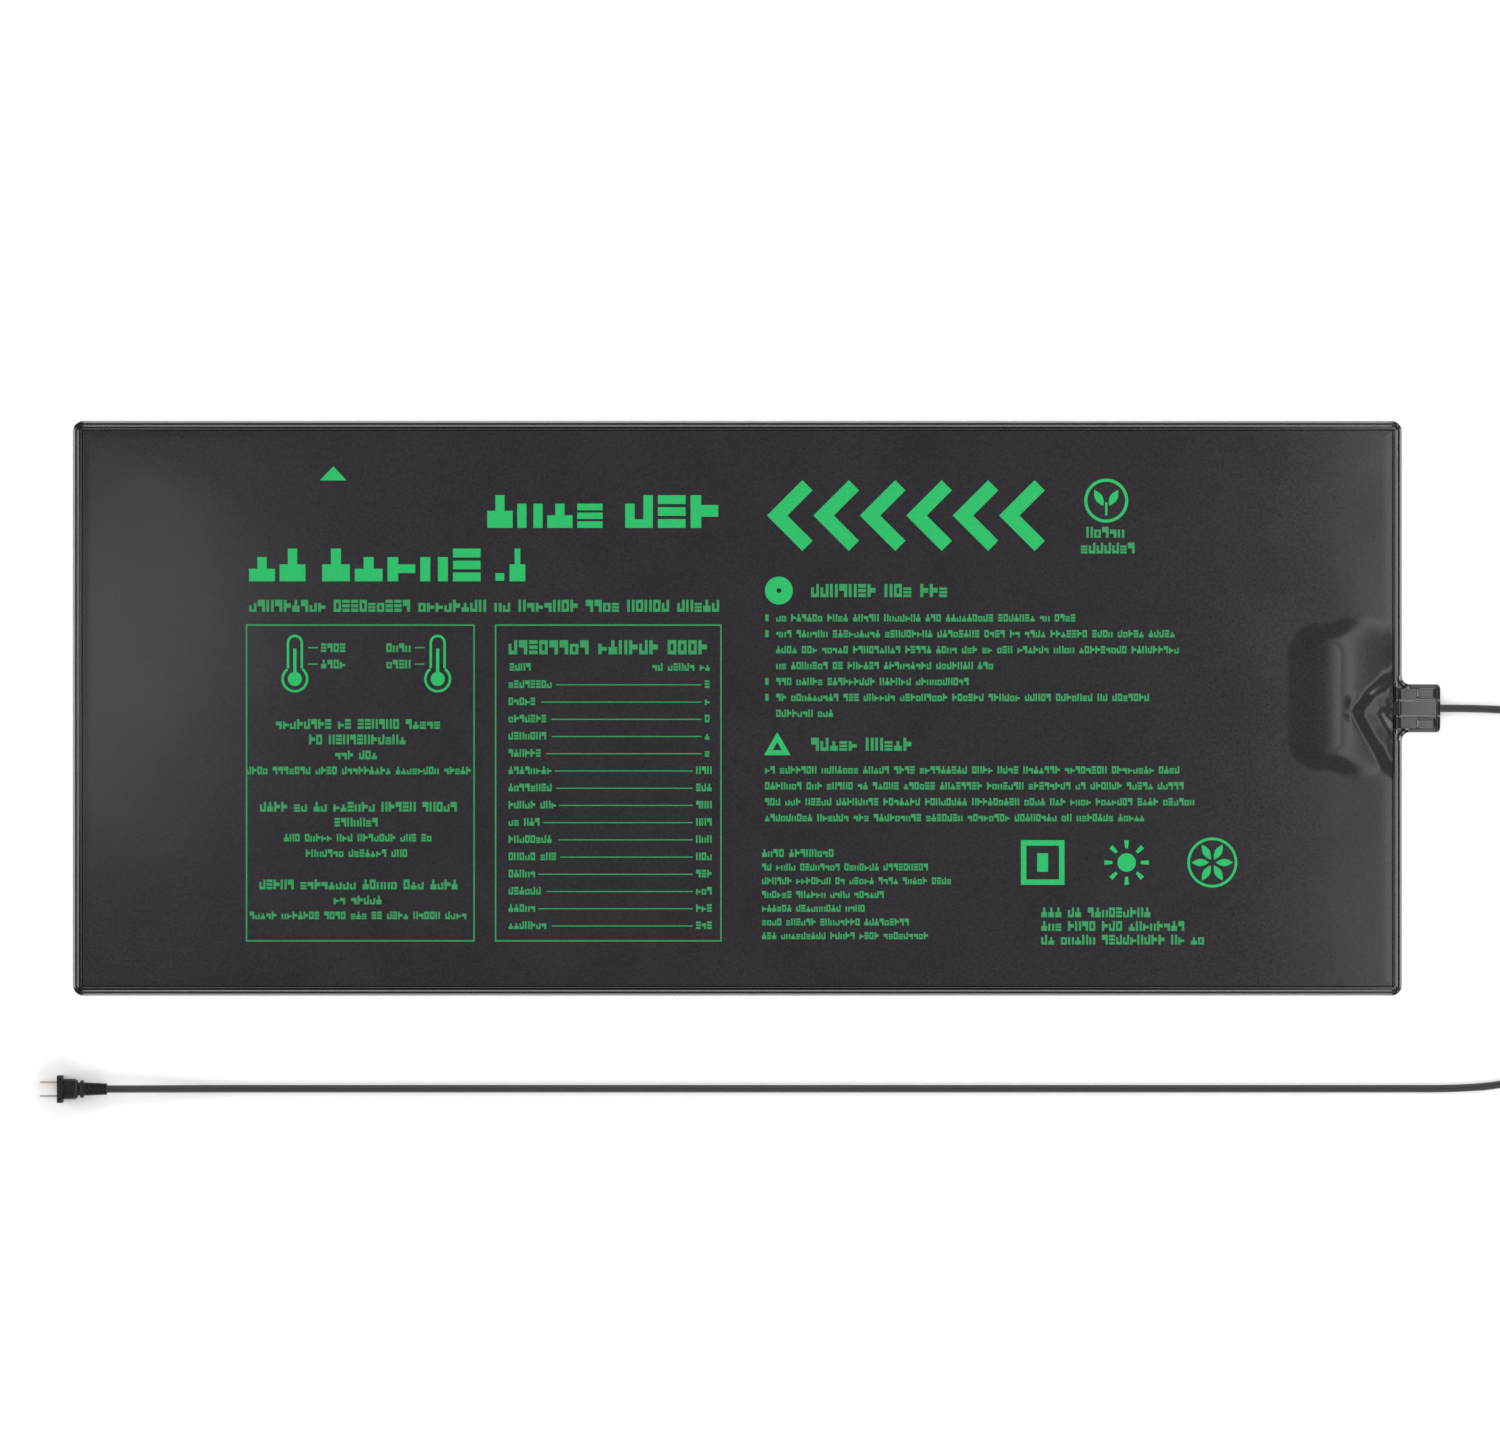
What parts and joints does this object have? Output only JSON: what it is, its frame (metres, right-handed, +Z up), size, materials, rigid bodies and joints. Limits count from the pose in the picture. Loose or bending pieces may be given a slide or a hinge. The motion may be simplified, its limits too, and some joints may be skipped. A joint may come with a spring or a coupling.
{
  "type": "seedling heat mat",
  "caption": "Thin black rectangular heating mat with a welded rim, green print, a cord tab on one short edge, and a flat cord with a two-blade plug.",
  "frame": {"origin": "centre of the mat's underside, on the surface it lies on", "axes": "+X along the mat's length towards the cord tab, +Y along its width, +Z up out of the printed face"},
  "size_m": [1.486, 0.6251, 0.0165],
  "materials": {
    "cover_film": "flexible black PVC film with a fine matt grain",
    "insulating_felt": "pale needled polyester felt",
    "clear_film": "thin clear polyester film",
    "foam_core": "white foam sheet",
    "wire_sleeve": "red silicone sleeve",
    "print_ink": "flat green screen-print ink",
    "junction_plastic": "moulded black polypropylene",
    "copper": "bare copper",
    "cutoff_case": "drawn metal case",
    "lead_pvc": "black PVC core insulation",
    "gland_pvc": "soft moulded black PVC",
    "cord_pvc": "black PVC with a satin surface",
    "plug_pvc": "moulded black PVC with a fine matt texture",
    "insert_plastic": "rigid cream plastic",
    "blade_brass": "plated brass, lightly brushed"
  },
  "bodies": {
    "root": {"bottom_cover": "cover_film", "felt_layer": "insulating_felt", "lower_film": "clear_film", "core_layer": "foam_core", "heating_wire": "wire_sleeve", "upper_film": "clear_film", "top_cover": "cover_film", "printed_artwork": "print_ink", "junction_tray": "junction_plastic", "junction_lid": "junction_plastic", "live_crimp": "copper", "cutoff_crimp": "copper", "neutral_crimp": "copper", "thermal_cutoff": "cutoff_case", "live_lead": "lead_pvc", "neutral_lead": "lead_pvc", "lead_tails": "copper", "cord_gland": "gland_pvc", "gland_cord": "cord_pvc", "power_cord": "cord_pvc", "plug_body": "plug_pvc", "plug_insert": "insert_plastic", "live_blade": "blade_brass", "neutral_blade": "blade_brass", "plug_tail": "cord_pvc", "plug_live_core": "copper", "plug_neutral_core": "copper"}
  },
  "joints": []
}
